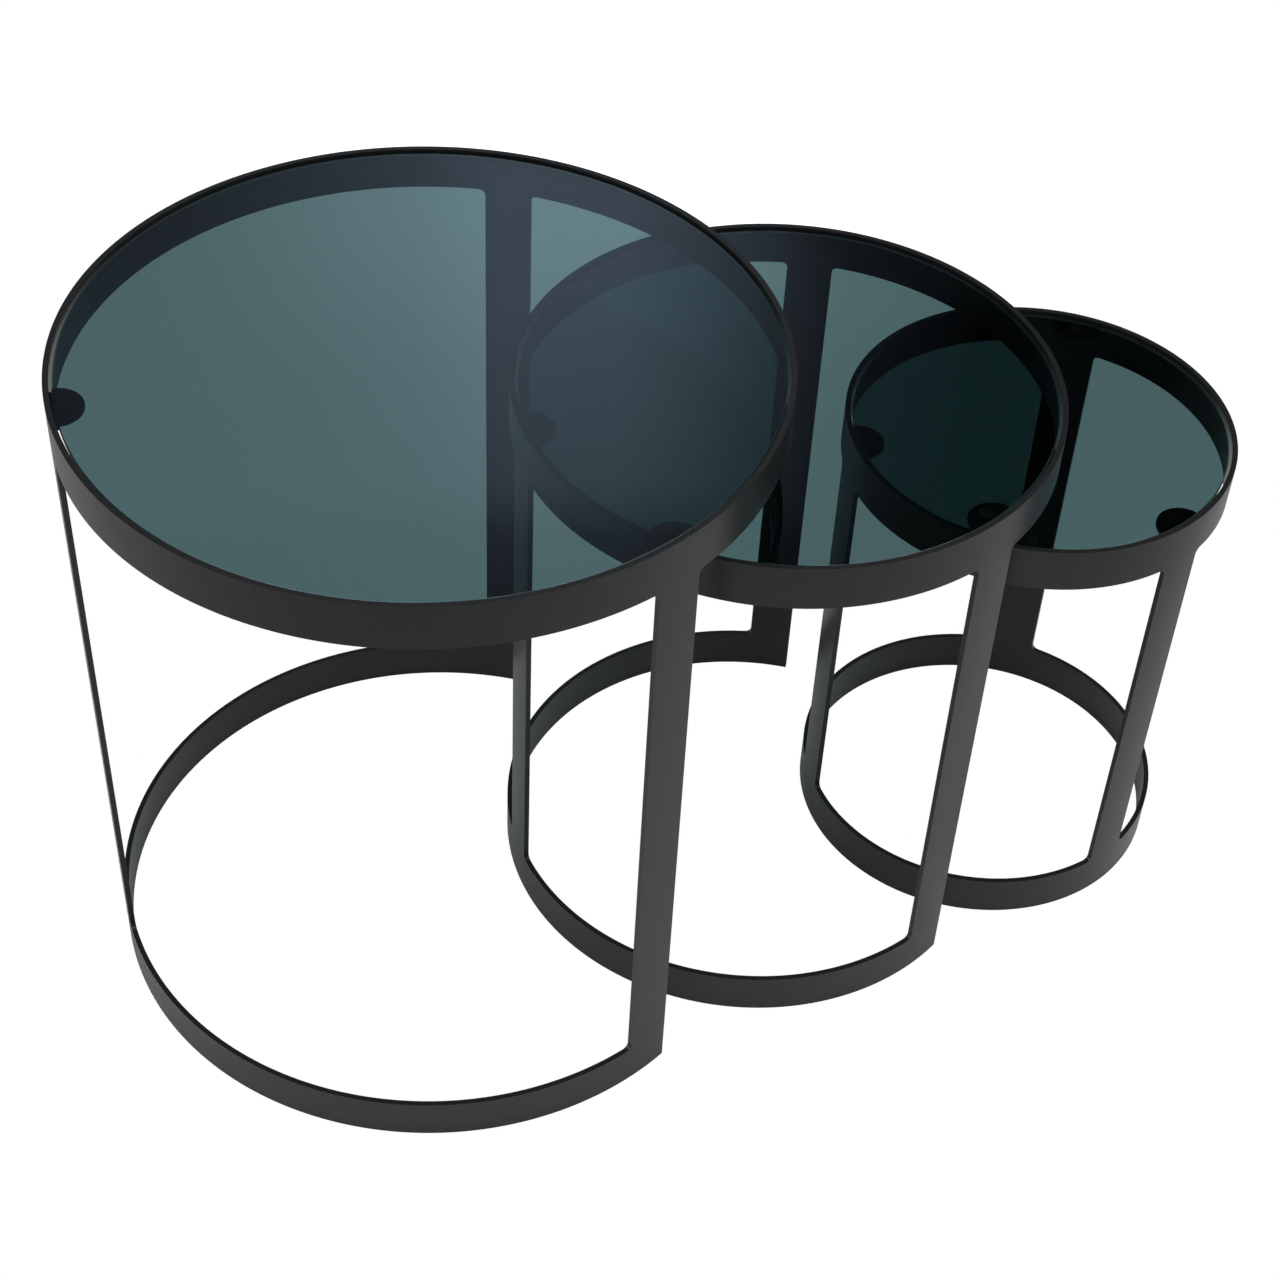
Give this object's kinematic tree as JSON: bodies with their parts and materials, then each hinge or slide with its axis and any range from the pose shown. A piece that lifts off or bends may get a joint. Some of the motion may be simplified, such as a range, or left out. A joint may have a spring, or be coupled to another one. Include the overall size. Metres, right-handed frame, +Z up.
{
  "type": "set of nesting tables",
  "caption": "Round nesting side tables with flat-bar steel frames and recessed smoked glass tops; the smaller ones slide under the larger ones through open base rings.",
  "frame": {"origin": "on the floor, under the middle of the row of three pulled-out tables", "axes": "+X is the direction in which the smaller tables are pulled out, +Z is up, the large table stands at -X"},
  "size_m": [0.8666, 0.4999, 0.537],
  "materials": {
    "black_frame": "matt black powder coat",
    "smoked_glass": "polished, grey tinted",
    "rubber_pad": "soft matt black rubber"
  },
  "bodies": {
    "large_table": {"large_top_ring": "black_frame", "large_base_ring": "black_frame", "large_leg_rear": "black_frame", "large_tab_rear": "black_frame", "large_pad_rear": "rubber_pad", "large_leg_left": "black_frame", "large_tab_left": "black_frame", "large_pad_left": "rubber_pad", "large_leg_right": "black_frame", "large_tab_right": "black_frame", "large_pad_right": "rubber_pad"},
    "large_glass": {"large_glass_top": "smoked_glass"},
    "medium_table": {"medium_top_ring": "black_frame", "medium_base_ring": "black_frame", "medium_leg_rear": "black_frame", "medium_tab_rear": "black_frame", "medium_pad_rear": "rubber_pad", "medium_leg_left": "black_frame", "medium_tab_left": "black_frame", "medium_pad_left": "rubber_pad", "medium_leg_right": "black_frame", "medium_tab_right": "black_frame", "medium_pad_right": "rubber_pad"},
    "medium_glass": {"medium_glass_top": "smoked_glass"},
    "small_table": {"small_top_ring": "black_frame", "small_base_ring": "black_frame", "small_leg_rear": "black_frame", "small_tab_rear": "black_frame", "small_pad_rear": "rubber_pad", "small_leg_left": "black_frame", "small_tab_left": "black_frame", "small_pad_left": "rubber_pad", "small_leg_right": "black_frame", "small_tab_right": "black_frame", "small_pad_right": "rubber_pad"},
    "small_glass": {"small_glass_top": "smoked_glass"}
  },
  "joints": [
    {"name": "medium_table_slide", "type": "slide", "parent": "large_table", "child": "medium_table", "axis": [1, 0, 0], "range_m": [-0.2648, 0.2]},
    {"name": "small_table_slide", "type": "slide", "parent": "medium_table", "child": "small_table", "axis": [1, 0, 0], "range_m": [-0.2054, 0.155]},
    {"name": "large_glass_lift", "type": "slide", "parent": "large_table", "child": "large_glass", "axis": [0, 0, 1], "range_m": [0, 0.03]},
    {"name": "medium_glass_lift", "type": "slide", "parent": "medium_table", "child": "medium_glass", "axis": [0, 0, 1], "range_m": [0, 0.03]},
    {"name": "small_glass_lift", "type": "slide", "parent": "small_table", "child": "small_glass", "axis": [0, 0, 1], "range_m": [0, 0.03]}
  ]
}
